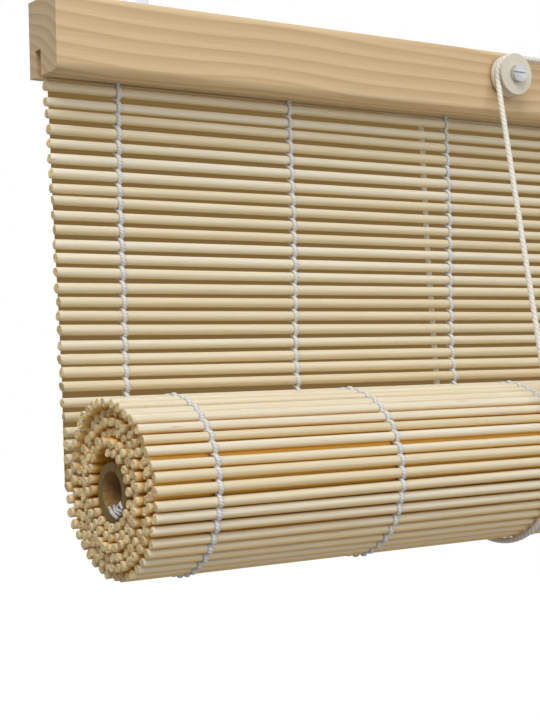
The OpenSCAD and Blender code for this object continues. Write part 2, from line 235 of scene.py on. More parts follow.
def sweep(paths: np.ndarray, across: Triple, wide: np.ndarray | float, thick: float,
          sides: int) -> Shell:
    """Carries an oval along each of several equal paths.

    At each point the oval stands square to the path: its width lies as near to `across` as it
    can, and its thickness is square to both. The corner at angle q is
    middle + wide cos(q) u + thick sin(q) v.

    Args:
        paths: Middles, as tubes by points by XYZ.
        across: Direction that the width follows.
        wide: Half width, one for all or one for each point.
        thick: Half thickness.
        sides: Corners of the oval.

    Returns:
        Closed tubes with the attribute `yarn`: distance along in metres, cos(q) and sin(q).
    """
    count, rings, _ = paths.shape
    ahead = unit(np.gradient(paths, axis=1))
    lean = np.broadcast_to(across, paths.shape)
    u = unit(lean - np.sum(lean * ahead, axis=-1, keepdims=True) * ahead)
    v = np.cross(ahead, u)
    q = circle(sides)
    half_w = np.broadcast_to(wide, (count, rings))[..., None, None]
    wall = (paths[:, :, None, :]
            + half_w * np.cos(q)[:, None] * u[:, :, None, :]
            + thick * np.sin(q)[:, None] * v[:, :, None, :])
    ends = paths[:, [0, -1]]
    points = np.concatenate([wall.reshape(-1, 3), ends.reshape(-1, 3)])
    steps = np.linalg.norm(np.diff(paths, axis=1), axis=-1)
    along = np.concatenate([np.zeros((count, 1)), np.cumsum(steps, axis=1)], axis=1) * MM
    yarn = rows(along[:, :, None], np.cos(q), np.sin(q))
    tips = rows(along[:, [0, -1]], 0.0, 0.0)
    quads, fans = tube_faces(count, rings, sides)
    return Shell(points, quads, fans,
                 vectors={"yarn": np.concatenate([yarn.reshape(-1, 3), tips.reshape(-1, 3)])})


def rounded_path(points: np.ndarray, count: int, passes: int = 2) -> np.ndarray:
    """Rounds a line of points by cutting its corners, then spaces it evenly.

    Each pass puts points at a quarter and three quarters of every leg and keeps the two ends.

    Args:
        points: Line as XYZ rows.
        count: Number of new points.
        passes: Number of corner-cutting passes.

    Returns:
        Evenly spaced points from the first to the last.
    """
    line = points
    for _ in range(passes):
        legs = np.diff(line, axis=0)
        cut = np.stack([line[:-1] + 0.25 * legs, line[:-1] + 0.75 * legs], axis=1).reshape(-1, 3)
        line = np.concatenate([line[:1], cut, line[-1:]])
    reach = np.concatenate([[0.0], np.cumsum(np.linalg.norm(np.diff(line, axis=0), axis=1))])
    places = np.linspace(0.0, reach[-1], count)
    return np.stack([np.interp(places, reach, line[:, i]) for i in range(3)], axis=1)


def settle(piece: Object) -> None:
    """Rides a piece on the blind."""
    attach(piece, CARRIER)


# Finishes


class NodeKit:
    """Adds nodes to a shader tree by short calls."""

    def __init__(self, tree: NodeTree) -> None:
        """Empties the tree and keeps it to be filled."""
        self.tree = tree
        tree.nodes.clear()

    def feed(self, socket: NodeSocket, value: object) -> None:
        """Links a socket, or sets a number or colour on it.

        Args:
            socket: Input to fill.
            value: Output socket, number, colour or vector.
        """
        if isinstance(value, NodeSocket):
            self.tree.links.new(value, socket)
        elif socket.type == "RGBA":
            socket.default_value = (*value, 1.0)
        else:
            socket.default_value = value

    def fill(self, node: Node, inputs: dict[str | int, object]) -> None:
        """Fills a node's inputs, by their names or numbers."""
        for label, value in inputs.items():
            self.feed(node.inputs[label], value)

    def add(self, kind: str, inputs: dict[str | int, object], **settings: str) -> Node:
        """Adds a node.

        Args:
            kind: Kind of shader node.
            inputs: Output sockets, numbers or colours, by the input's name or number.
            settings: The node's own settings, made before its inputs are filled.

        Returns:
            The node.
        """
        node = self.tree.nodes.new(f"ShaderNode{kind}")
        for label, setting in settings.items():
            setattr(node, label, setting)
        self.fill(node, inputs)
        return node

    def maths(self, operation: str, a: object, b: object = 0.0) -> NodeSocket:
        """One step of arithmetic on two numbers."""
        return self.add("Math", {0: a, 1: b}, operation=operation).outputs[0]

    def weigh(self, a: object, weight_a: object, b: object, weight_b: object) -> NodeSocket:
        """Adds two numbers, each times its weight."""
        return self.maths("ADD", self.maths("MULTIPLY", a, weight_a), self.maths("MULTIPLY", b, weight_b))

    def shade(self, share: object, a: object, b: object) -> NodeSocket:
        """Mixes two shaders."""
        return self.add("MixShader", {0: share, 1: a, 2: b}).outputs[0]


class Recipe(NodeKit):
    """Nodes of one material with a Principled shader.

    Attributes:
        material: Material that is being made.
        shader: Its shader.
    """

    def __init__(self, name: str) -> None:
        """Starts a material with its shader alone.

        Args:
            name: Name of the material.
        """
        self.material = bpy.data.materials.new(name)
        self.material.use_nodes = True
        super().__init__(self.material.node_tree)
        self.shader = self.add("BsdfPrincipled", {})
        self.add("OutputMaterial", {"Surface": self.shader.outputs["BSDF"]})

    def place(self, scale: Triple) -> NodeSocket:
        """Object coordinates times a scale for each axis."""
        where = self.add("TexCoord", {}).outputs["Object"]
        return self.add("Mapping", {"Vector": where, "Scale": scale}).outputs["Vector"]

    def about(self, axis_y: float, axis_z: float) -> tuple[NodeSocket, ...]:
        """Coordinates about a line along X.

        Args:
            axis_y: The line's Y.
            axis_z: The line's Z.

        Returns:
            X, the radius and the angle, in metres and radians.
        """
        x, y, z = self.add("SeparateXYZ", {0: self.place((1.0, 1.0, 1.0))}).outputs
        y, z = self.maths("SUBTRACT", y, axis_y * MM), self.maths("SUBTRACT", z, axis_z * MM)
        return x, self.maths("POWER", self.weigh(y, y, z, z), 0.5), self.maths("ARCTAN2", z, y)

    def noise(self, scale: Triple, detail: float = 3.0, rough: float = 0.5) -> NodeSocket:
        """Noise from 0 to 1 on scaled Object coordinates."""
        return self.add("TexNoise", {"Vector": self.place(scale), "Scale": 1.0, "Detail": detail,
                                     "Roughness": rough}).outputs["Fac"]

    def cells(self, scale: Triple) -> NodeSocket:
        """Distance to the nearest of scattered points, for speckles."""
        return self.add("TexVoronoi", {"Vector": self.place(scale), "Scale": 1.0}).outputs["Distance"]

    def note(self, name: str) -> NodeSocket:
        """A number that the mesh carries for each corner."""
        return self.add("Attribute", {}, attribute_name=name).outputs["Fac"]

    def note_parts(self, name: str) -> tuple[NodeSocket, ...]:
        """The three numbers of a vector that the mesh carries for each corner."""
        vector = self.add("Attribute", {}, attribute_name=name).outputs["Vector"]
        return tuple(self.add("SeparateXYZ", {0: vector}).outputs)

    def span(self, value: object, low: float, high: float, to_low: float = 0.0,
             to_high: float = 1.0) -> NodeSocket:
        """Maps low..high to to_low..to_high and holds the ends."""
        return self.add("MapRange", {"Value": value, "From Min": low, "From Max": high,
                                     "To Min": to_low, "To Max": to_high}).outputs["Result"]

    def blend(self, share: object, a: object, b: object, mode: str = "MIX") -> NodeSocket:
        """Mixes two colours."""
        inputs = {"Factor": share, 6: a, 7: b}
        return self.add("Mix", inputs, data_type="RGBA", blend_type=mode).outputs[2]

    def relief(self, height: object, strength: float, depth: float) -> None:
        """Gives the shader a bump of that depth in millimetres."""
        bump = self.add("Bump", {"Strength": strength, "Distance": depth * MM, "Height": height})
        self.fill(self.shader, {"Normal": bump.outputs["Normal"]})

    def wear(self, base: object, roughness: object, gloss: float = 0.5) -> None:
        """Gives the shader its colour, its roughness and a gloss that is the same all over."""
        self.fill(self.shader, {"Base Color": base, "Roughness": roughness, "Specular IOR Level": gloss})


@dataclass(frozen=True)
class BambooFinish:
    """Pale split bamboo: streaks along X, a tone for each slat, painted warm shade under slats and in the
    roll's hollows, speckled cut ends.

    Each pattern's size is its repeats in a metre along X, Y and Z, here and in the other finishes.
    """

    pale: Colour = (0.88, 0.81, 0.65)
    straw: Colour = (0.79, 0.67, 0.44)
    gleam: Colour = (0.95, 0.91, 0.82)
    fleck: Colour = (0.42, 0.27, 0.11)
    # Painted shade colours: ochre under hanging slats, ember in the roll's hollows.
    painted_shade_ochre: Colour = (0.78, 0.59, 0.27)
    painted_shade_ember: Colour = (0.88, 0.51, 0.08)
    cut_pale: Colour = (0.98, 0.77, 0.37)
    cut_dark: Colour = (0.36, 0.19, 0.05)
    streaks: Triple = (5.0, 420.0, 420.0)
    grain: Triple = (30.0, 2600.0, 2600.0)
    fibres: Triple = (6.0, 1000.0, 1000.0)
    dashes: Triple = (70.0, 900.0, 900.0)
    pores: Triple = (1250.0, 1250.0, 1250.0)
    clouds: Triple = (500.0, 500.0, 500.0)
    gloss: float = 0.2

    def make(self) -> Material:
        """Builds the material: skin along the slat and a face on its cut ends."""
        r = Recipe("pale_bamboo")
        own, cut = r.note("tone"), r.span(r.note("cut"), 0.35, 0.65)
        grain, pores = r.noise(self.grain, 3.0, 0.6), r.cells(self.pores)
        colour = r.blend(cut, self.skin(r, own, grain), self.face(r, own, pores))
        r.wear(colour, r.span(grain, 0.3, 0.7, 0.42, 0.62), self.gloss)
        r.relief(r.weigh(grain, 1.0, r.maths("MULTIPLY", pores, cut), 2.0), 0.5, 0.25)
        return r.material

    def skin(self, r: Recipe, own: NodeSocket,
             grain: NodeSocket) -> NodeSocket:
        """Colour along the slat: tone, grain, fibres and flecks, then painted warm shade under slats and
        in the roll's hollows.

        Args:
            r: Recipe of the material.
            own: Tone of the slat.
            grain: Its fine grain.

        Returns:
            The colour.
        """
        tone = r.weigh(own, 1.1, r.noise(self.streaks, 4.0, 0.6), 0.5)
        skin = r.blend(r.span(tone, 0.38, 1.15), self.pale, self.straw)
        skin = r.blend(r.span(grain, 0.42, 0.75, 0.0, 0.35), skin, self.straw, "MULTIPLY")
        fibre = r.noise(self.fibres, 3.0, 0.6)
        skin = r.blend(r.span(fibre, 0.50, 0.74, 0.0, 0.75), skin, self.straw)
        skin = r.blend(r.span(fibre, 0.48, 0.28, 0.0, 0.30), skin, self.gleam)
        dash = r.noise(self.dashes, 2.0, 0.5)
        skin = r.blend(r.span(dash, 0.70, 0.80, 0.0, 0.55), skin, self.fleck)
        # Painted shade: ochre under hanging slats and ember in the roll, as much as the `deep` mask
        # gives.
        return r.blend(r.note("deep"), skin, r.blend(r.note("wound"), self.painted_shade_ochre, self.painted_shade_ember))

    def face(self, r: Recipe, own: NodeSocket,
             pores: NodeSocket) -> NodeSocket:
        """Colour of a cut end: dark pores in pale wood, darker on slats of a deep tone.

        Args:
            r: Recipe of the material.
            own: Tone of the slat.
            pores: Distance to the nearest pore.

        Returns:
            The colour.
        """
        face = r.blend(r.span(pores, 0.12, 0.42), self.cut_dark, self.cut_pale)
        face = r.blend(r.span(r.noise(self.clouds), 0.35, 0.7, 0.0, 0.25), face, self.pale)
        return r.blend(r.span(own, 0.35, 0.85, 0.0, 0.45), face, self.cut_dark)


@dataclass(frozen=True)
class YarnFinish:
    """Twisted cotton: plies wind round the strand as ridges, with painted shade in the valleys between
    them.
    """

    name: str
    pale: Colour
    painted_valley_shade: Colour
    plies: float
    twist: float
    fuzz: Triple = (2500.0, 2500.0, 2500.0)
    sheen: float = 0.25
    gloss: float = 0.2

    def make(self) -> Material:
        """Builds the material: a ridge is sin(plies q + twist along)."""
        r = Recipe(self.name)
        along, cosine, sine = r.note_parts("yarn")
        turn = r.maths("ARCTAN2", sine, cosine)
        ridge = r.maths("SINE", r.weigh(turn, self.plies, along, self.twist))
        fuzz = r.noise(self.fuzz, 3.0, 0.7)
        height = r.weigh(ridge, 0.5, fuzz, 0.6)
        # Painted shade: the valleys between plies are darker and the ridges pale.
        colour = r.blend(r.span(height, -0.3, 0.55), self.painted_valley_shade, self.pale)
        r.wear(colour, r.span(fuzz, 0.3, 0.7, 0.85, 1.0), self.gloss)
        r.fill(r.shader, {"Sheen Weight": self.sheen})
        r.relief(height, 0.45, 0.25)
        return r.material


@dataclass(frozen=True)
class TimberFinish:
    """Planed softwood: growth rings about a pith below the batten, and fine fibres along X."""

    pale: Colour = (0.74, 0.56, 0.33)
    late: Colour = (0.52, 0.33, 0.15)
    pith_y: float = 25.0
    pith_z: float = -90.0
    ring: float = 4.2
    wander: float = 26.0
    bends: Triple = (4.0, 14.0, 14.0)
    fibres: Triple = (28.0, 1600.0, 1600.0)

    def make(self) -> Material:
        """Builds the material: each ring darkens outwards and then turns pale at once."""
        r = Recipe("planed_softwood")
        _, radius, _ = r.about(self.pith_y, self.pith_z)
        bent = r.weigh(radius, 1.0, r.noise(self.bends, 2.0, 0.5), self.wander * MM)
        ring = r.maths("FRACT", r.maths("DIVIDE", bent, self.ring * MM))
        late = r.maths("MULTIPLY", r.span(ring, 0.25, 0.86), r.span(ring, 1.0, 0.9))
        fibre = r.noise(self.fibres, 3.0, 0.6)
        share = r.weigh(late, 0.5, fibre, 0.4)
        r.wear(r.blend(share, self.pale, self.late), r.span(fibre, 0.3, 0.7, 0.48, 0.66))
        r.relief(r.weigh(fibre, 1.0, late, 0.3), 0.35, 0.2)
        return r.material


@dataclass(frozen=True)
class CardFinish:
    """Wound brown board: grey layers on its cut rim, a winding seam along the tube."""

    board: Colour = (0.58, 0.36, 0.13)
    fibre: Colour = (0.22, 0.115, 0.04)
    rim: Colour = (0.24, 0.19, 0.07)
    pulp: Triple = (700.0, 1100.0, 1100.0)
    layers: float = 9000.0
    lead: float = 110.0
    gloss: float = 0.25
    core: Core = Core()

    def make(self) -> Material:
        """Builds the material: layers are rings of equal radius about the core's axis."""
        r = Recipe("wound_card")
        x, radius, angle = r.about(self.core.axis_y, self.core.axis_z)
        layer = r.maths("SINE", r.maths("MULTIPLY", radius, self.layers))
        seam = r.maths("SINE", r.weigh(angle, 1.0, x, self.lead))
        pulp = r.noise(self.pulp, 4.0, 0.65)
        share = r.maths("ADD", r.weigh(pulp, 0.75, layer, 0.12), r.span(seam, 0.985, 1.0, 0.0, 0.35))
        rim_x = self.core.rim_x
        edge = r.span(r.maths("ABSOLUTE", x), (rim_x - 0.3) * MM, (rim_x - 0.1) * MM)
        face = r.blend(edge, self.board, self.rim)
        r.wear(r.blend(r.span(share, 0.2, 0.75), face, self.fibre),
               r.span(pulp, 0.3, 0.7, 0.82, 0.96), self.gloss)
        r.relief(share, 0.5, 0.3)
        return r.material


@dataclass(frozen=True)
class PlatedSteelFinish:
    """Zinc plated steel with fine brushing and cloudy plating."""

    bright: Colour = (0.66, 0.66, 0.67)
    dull: Colour = (0.46, 0.46, 0.48)
    clouds: Triple = (160.0, 160.0, 160.0)
    brushing: Triple = (3500.0, 200.0, 200.0)

    def make(self) -> Material:
        """Builds the material."""
        r = Recipe("zinc_plate")
        cloud = r.noise(self.clouds, 3.0, 0.6)
        brush = r.noise(self.brushing, 2.0, 0.5)
        r.wear(r.blend(r.span(cloud, 0.3, 0.7), self.bright, self.dull),
               r.span(brush, 0.3, 0.7, 0.26, 0.44))
        r.fill(r.shader, {"Metallic": 1.0})
        r.relief(brush, 0.15, 0.1)
        return r.material


@dataclass(frozen=True)
class MouldedPlasticFinish:
    """Ivory moulded plastic with a fine spark-eroded texture."""

    ivory: Colour = (0.78, 0.73, 0.61)
    shade: Colour = (0.68, 0.62, 0.49)
    flow: Triple = (70.0, 70.0, 70.0)
    sparks: Triple = (2600.0, 2600.0, 2600.0)

    def make(self) -> Material:
        """Builds the material."""
        r = Recipe("ivory_plastic")
        flow = r.noise(self.flow, 2.0, 0.5)
        spark = r.noise(self.sparks, 2.0, 0.6)
        r.wear(r.blend(r.span(flow, 0.3, 0.75), self.ivory, self.shade),
               r.span(spark, 0.3, 0.7, 0.34, 0.5))
        r.relief(spark, 0.25, 0.1)
        return r.material


@dataclass
class Finishes:
    """The blind's finishes, each made once."""

    bamboo: Material = field(default_factory=BambooFinish().make)
    thread: Material = field(default_factory=YarnFinish(
        "white_thread", pale=(0.81, 0.81, 0.80), painted_valley_shade=(0.62, 0.62, 0.61),
        plies=2.0, twist=5200.0).make)
    cord: Material = field(default_factory=YarnFinish(
        "lift_cord_cotton", pale=(0.90, 0.87, 0.79), painted_valley_shade=(0.70, 0.66, 0.58),
        plies=3.0, twist=2600.0).make)
    timber: Material = field(default_factory=TimberFinish().make)
    card: Material = field(default_factory=CardFinish().make)
    steel: Material = field(default_factory=PlatedSteelFinish().make)
    ivory: Material = field(default_factory=MouldedPlasticFinish().make)


# The woven mat


@dataclass
class Weave:
    """Places of the mat's slats, from the batten down and then round the roll.

    Attributes:
        turn_step: How much smaller each turn of the roll is than the one outside it.
        forward: How far the tail behind the roll eases towards it.
        last_rise: Height of the lowest tail slat above the roll's axis.
        drift: Slide of each slat to the left of the one below it, down to slat drift_end.
        hung_stray: How far the ends of hanging slats are cut out of line, and roll_stray in the roll.
        slides: Slide of each turn of the roll at its four quarters, from the back and down.
        hung_count: Slats that belong to the hanging part.
        tail_count: Slats that hang behind the roll.
        columns: Places of the thread columns, in X.
        sway_hung: How far hanging slats stray along the mat, and sway_roll in the roll.
        sway_off: Share of that stray that a slat may stand off the mat.
        swell_hung: Girth of hanging slats, and swell_outer and swell_inner of the roll's turns.
        straight: Slats before the roll, and so the number of its first slat.
        count: All slats.
        angles: Angle of each wound slat round the roll, from the back and down.
        spots: Middles of the slats as Y and Z.
        outward: Direction of the mat's rear face at each slat, as Y and Z.
        ends: Left and right end of each slat, in X.
        girth: Mean radius of each slat.
        lean: How far each slat's ends stray to opposite sides, as Y and Z.
        bow: How far its middle strays, as Y and Z.
        wave: Start of its slight wave, for Y and Z.
    """

    width: float = 580.0
    slat_r: float = 1.8
    hung_pitch: float = 5.6
    roll_pitch: float = 4.9
    inner_pitch: float = 4.4
    turn_step: float = 3.7
    turns: float = 5.75
    mat_y: float = -8.1
    top_z: float = -31.2
    forward: float = 3.2
    roll_r: float = 34.225
    axis_y: float = -45.525
    axis_z: float = -196.9
    last_rise: float = 3.3
    drift: float = 0.2
    drift_end: float = 19.0
    hung_stray: float = 0.3
    roll_stray: float = 0.4
    stray_turn: float = 137.5
    stray_step: float = 40.0
    far_seed: int = 7
    slides: tuple[tuple[float, ...], ...] = (
        (-0.4, 2.8, 1.4, -2.0), (0.9, 0.4, 0.8, 2.4), (1.6, 0.0, 1.8, 0.6),
        (1.4, -0.6, -0.4, 2.2), (0.2, 0.3, 1.5, -1.0), (0.6, 1.0, 0.5, -0.6))
    hung_count: int = 21
    tail_count: int = 9
    columns: tuple[float, ...] = (-262.0, -178.0, -89.0, 0.0, 89.0, 178.0, 262.0)
    seed: int = 31
    sway_hung: float = 0.55
    sway_roll: float = 0.42
    sway_off: float = 0.4
    bow_share: float = 0.7
    wave_share: float = 0.25
    wave_rate: float = 7.0
    swell_hung: float = 1.1
    swell_outer: float = 1.05
    swell_inner: float = 0.975

    def __post_init__(self) -> None:
        """Works out every slat's place, ends, girth and sway."""
        self.straight = self.hung_count + self.tail_count
        self.place()
        self.count = len(self.spots)
        self.cut()
        self.bend()

    def place(self) -> None:
        """Hangs the first slats in a line that eases forward, and winds the rest as a spiral."""
        k = np.arange(self.straight)
        t = np.clip((k - self.hung_count + 1) / self.tail_count, 0.0, 1.0)
        hung = np.stack([self.mat_y - self.forward * t * t * (3 - 2 * t),
                         self.top_z - k * self.hung_pitch], axis=1)
        angles = [(self.roll_pitch - self.last_rise) / self.roll_r]
        while angles[-1] < FULL_TURN * self.turns:
            pitch = self.roll_pitch if angles[-1] < FULL_TURN else self.inner_pitch
            angles.append(angles[-1] + pitch / self.radius(angles[-1]))
        self.angles = np.array(angles[:-1])
        ray = np.stack([np.cos(self.angles), -np.sin(self.angles)], axis=1)
        roll = np.array([self.axis_y, self.axis_z]) + self.radius(self.angles)[:, None] * ray
        self.spots = np.concatenate([hung, roll])
        self.outward = np.concatenate([np.tile([1.0, 0.0], (len(hung), 1)), ray])

    def cut(self) -> None:
        """Slides each slat along the mat, a quarter turn of the roll at a time, and cuts its ends."""
        k, j = np.arange(self.straight), np.arange(len(self.angles))
        seeds = np.concatenate([k, j])
        quarters = np.array(self.slides).ravel()
        shift = np.concatenate([
            self.drift * np.minimum(k - self.drift_end, 0.0),
            np.interp(self.angles / (np.pi / 2), np.arange(len(quarters)), quarters)])
        stray = np.repeat([self.hung_stray, self.roll_stray], [len(k), len(j)])
        half = self.width / 2
        self.ends = np.stack([-half + shift + stray * self.straying(seeds),
                              half + shift + stray * self.straying(seeds + self.far_seed)], axis=1)

    def bend(self) -> None:
        """Draws each slat's girth and how it strays from a straight line."""
        rng = np.random.default_rng(self.seed)
        hangs = np.arange(self.count) < self.straight
        outer = np.concatenate([np.zeros(self.straight, bool), self.angles < FULL_TURN])
        wound = np.where(outer, self.swell_outer, self.swell_inner)
        self.girth = self.slat_r * np.where(hangs, self.swell_hung, wound)
        reach = np.where(hangs, self.sway_hung, self.sway_roll)[:, None]
        along = reach * np.stack([self.outward[:, 1], -self.outward[:, 0]], axis=1)
        off = reach * self.sway_off * self.outward
        pull = rng.uniform(-1.0, 1.0, (2, self.count, 2))
        self.lean, self.bow = pull[..., :1] * along + pull[..., 1:] * off
        self.bow *= self.bow_share
        self.wave = rng.uniform(0.0, FULL_TURN, (self.count, 2))

    def radius(self, angle: np.ndarray | float) -> np.ndarray:
        """Radius of the roll's spiral, one step smaller each turn, at an angle from the back."""
        return self.roll_r - self.turn_step * np.asarray(angle) / FULL_TURN

    def straying(self, seed: np.ndarray) -> np.ndarray:
        """Share of the stray that a slat's cut end takes, from -1 to 1 with no clear order."""
        return np.sin(np.radians(self.stray_turn * seed * seed + self.stray_step * seed))

    def sway(self, x: np.ndarray) -> np.ndarray:
        """How far the slats stray from straight lines at given X.

        With s from -1 to 1 along a slat, the stray is lean s + bow (1 - s s) and a slight wave.

        Args:
            x: Places along the blind, one row for each slat or one for all.

        Returns:
            Strays in Y and Z, as slats by places by two.
        """
        s = (np.broadcast_to(x, (self.count, np.shape(x)[-1])) / (self.width / 2))[..., None]
        lean, bow = self.lean[:, None, :], self.bow[:, None, :]
        wave = self.wave_share * bow * np.sin(self.wave_rate * s + self.wave[:, None, :])
        return lean * s + bow * (1 - s * s) + wave


@dataclass
class SlatSet:
    """Round bamboo slats, each slightly bent and oval, with rough cut ends.

    Attributes:
        open_end: Length of a slat's end that stands open in the roll.
        ripple: How far a slat's girth varies along it.
        askew: Slope of its cut ends.
        rough: How far the edge of a cut end is out of its plane, and hump its middle.
        tones: Shape of the spread of tones, as the two numbers of a beta curve.
        under_ramp: Where the shade of a hanging slat starts round it, and how soon it is full.
        down_ramp: The same in the roll for sides that face down.
        inward_ramp: The same for sides that face into the roll.
        upper_ramp: The same for slats at the roll's top, by how far they face up.
    """

    weave: Weave
    chamfer: float = 0.3
    chamfer_draw: float = 0.84
    open_end: float = 2.6
    thinnest: float = 0.93
    thickest: float = 1.06
    ripple: float = 0.015
    oval: float = 0.045
    askew: float = 0.16
    rough: float = 0.10
    hump: float = 0.12
    tones: Pair = (2.0, 2.6)
    under_ramp: Pair = (0.5, 0.5)
    down_ramp: Pair = (0.25, 0.7)
    inward_ramp: Pair = (0.2, 0.7)
    upper_ramp: Pair = (-0.25, 1 / 1.2)
    tuck_shade: float = 0.9
    end_shade: float = 0.85
    end_under: float = 0.7
    seed: int = 7

    def shell(self, first: int, last: int, sides: int, stations: tuple[float, ...]) -> Shell:
        """Builds a run of slats.

        A corner at angle q stands at middle + r (1 + o cos(2q + p) + o/2 cos(3q + p)), with the
        ends' rings drawn in by the chamfer and set askew.

        Args:
            first: First slat of the run.
            last: One past its last slat.
            sides: Corners round a slat.
            stations: Places of its rings along it, from -1 to 1.

        Returns:
            Slats with the attributes `tone`, one for each slat, `cut`, 1 on the cut ends, `wound`,
            1 in the roll, and `deep`, the painted shade, up to 1 where a slat faces down or into the
            roll.
        """
        w, pick, count = self.weave, slice(first, last), last - first
        rng = np.random.default_rng(self.seed + first)
        x = self.ring_places(w.ends[pick], stations)
        rings = x.shape[1]
        spread = np.zeros((w.count, rings))
        spread[pick] = x
        middle = w.spots[pick][:, None, :] + w.sway(spread)[pick]
        q = circle(sides)
        swell = rng.uniform(self.thinnest, self.thickest, (count, 1))
        swell = swell * (1 + rng.uniform(-self.ripple, self.ripple, (count, rings)))
        swell[:, [0, -1]] *= self.chamfer_draw
        oval = rng.uniform(0.0, self.oval, (count, 1, 1))
        turn = rng.uniform(0.0, FULL_TURN, (count, 1, 1))
        r = (w.girth[pick][:, None] * swell)[..., None] * (
            1 + oval * np.cos(2 * q + turn) + 0.5 * oval * np.cos(3 * q + turn))
        offset = np.stack([r * np.cos(q), r * np.sin(q)], axis=-1)
        xs = self.rough_cut(x, offset, rng)
        wall = np.concatenate([xs[..., None], middle[:, :, None, :] + offset], axis=-1)
        humps = rng.uniform(-self.hump, self.hump, (count, 2, 1))
        tips = np.concatenate([w.ends[pick][..., None] + humps, middle[:, [0, -1]]], axis=-1)
        cut = np.zeros((count, rings, sides))
        cut[:, [0, -1]] = 1.0
        inset = np.minimum(x - w.ends[pick, :1], w.ends[pick, 1:] - x)
        # Painted shade mask: sides that face down or into the roll, for the bamboo's painted shade
        # colours.
        deep = self.depth(first, last, inset, q)
        wound = (np.arange(first, last) >= w.straight).astype(float)
        return Shell(
            np.concatenate([wall.reshape(-1, 3), tips.reshape(-1, 3)]),
            *tube_faces(count, rings, sides),
            values={
                "tone": self.shared(rng.beta(*self.tones, count), rings * sides),
                "wound": self.shared(wound, rings * sides),
                "cut": np.concatenate([cut.ravel(), np.ones(count * 2)]),
                "deep": np.concatenate([deep.ravel(), np.zeros(count * 2)]),
            })

    def ring_places(self, ends: np.ndarray, stations: tuple[float, ...]) -> np.ndarray:
        """Places of the slats' rings in X: three close to each end, and stations between.

        Args:
            ends: Left and right end of each slat.
            stations: Places along a slat, from -1 to 1.

        Returns:
            Places, as slats by rings.
        """
        near, far = ends[:, :1], ends[:, 1:]
        insets = np.array([0.0, self.chamfer, self.open_end])
        between = (near + far) / 2 + (far - near) / 2 * np.array(stations, float)
        return np.concatenate([near + insets, between, far - insets[::-1]], axis=1)

    def rough_cut(self, x: np.ndarray, offset: np.ndarray, rng: np.random.Generator) -> np.ndarray:
        """Sets the two rings at each end askew, and roughens the edge of the cut.

        Args:
            x: Places of the rings, as slats by rings.
            offset: Corners from the slats' middles in Y and Z, as slats by rings by corners by two.
            rng: Source of the draws.

        Returns:
            X of every corner, as slats by rings by corners.
        """
        count, _, sides, _ = offset.shape
        askew = rng.uniform(-self.askew, self.askew, (count, 2, 2))
        rough = rng.uniform(-self.rough, self.rough, (count, 2, sides))
        xs = np.broadcast_to(x[..., None], offset.shape[:3]).copy()
        for end, ring, next_ring in ((0, 0, 1), (1, -1, -2)):
            slant = np.einsum("nsd,nd->ns", offset[:, ring], askew[:, end])
            xs[:, ring] += slant + rough[:, end]
            xs[:, next_ring] += slant
        return xs

    @staticmethod
    def shared(numbers: np.ndarray, corners: int) -> np.ndarray:
        """Gives each slat's number to the corners of its wall and to its two end middles."""
        return np.concatenate([np.repeat(numbers, corners), np.repeat(numbers, 2)])

    def depth(self, first: int, last: int, inset: np.ndarray, q: np.ndarray) -> np.ndarray:
        """Painted shade on each side of a slat, from 0 to 1, by how far it faces down or into the roll.

        A hanging slat gets painted shade underneath. In the roll, inner turns get painted shade all
        round and the outer turn where it faces down or inwards, but less on the ends that stand open.

        Args:
            first: First slat of the run.
            last: One past its last slat.
            inset: Distances of the slats' rings from the nearer end.
            q: Angles round a slat, from +Y towards +Z.

        Returns:
            Painted shade, as slats by rings by angles.
        """
        w = self.weave
        outward = w.outward[first:last]
        number = np.arange(first, last)[:, None, None] - w.straight
        fall = -np.sin(q)[None, None, :]
        under, down = ramp(fall, *self.under_ramp), ramp(fall, *self.down_ramp)
        inward = -outward @ np.stack([np.cos(q), np.sin(q)])
        inward = ramp(inward[:, None, :], *self.inward_ramp)
        inner = number >= np.count_nonzero(w.angles < FULL_TURN)
        closed = np.where(inner, 1.0, self.tuck_shade * np.maximum(down, inward))
        upper = ramp(outward[:, 1], *self.upper_ramp)[:, None, None]
        opened = self.end_shade * np.maximum(self.end_under * down, upper * inward)
        hidden = ramp(inset, 0.0, self.open_end)[:, :, None]
        return np.where(number < 0, under, hidden * closed + (1 - hidden) * opened)


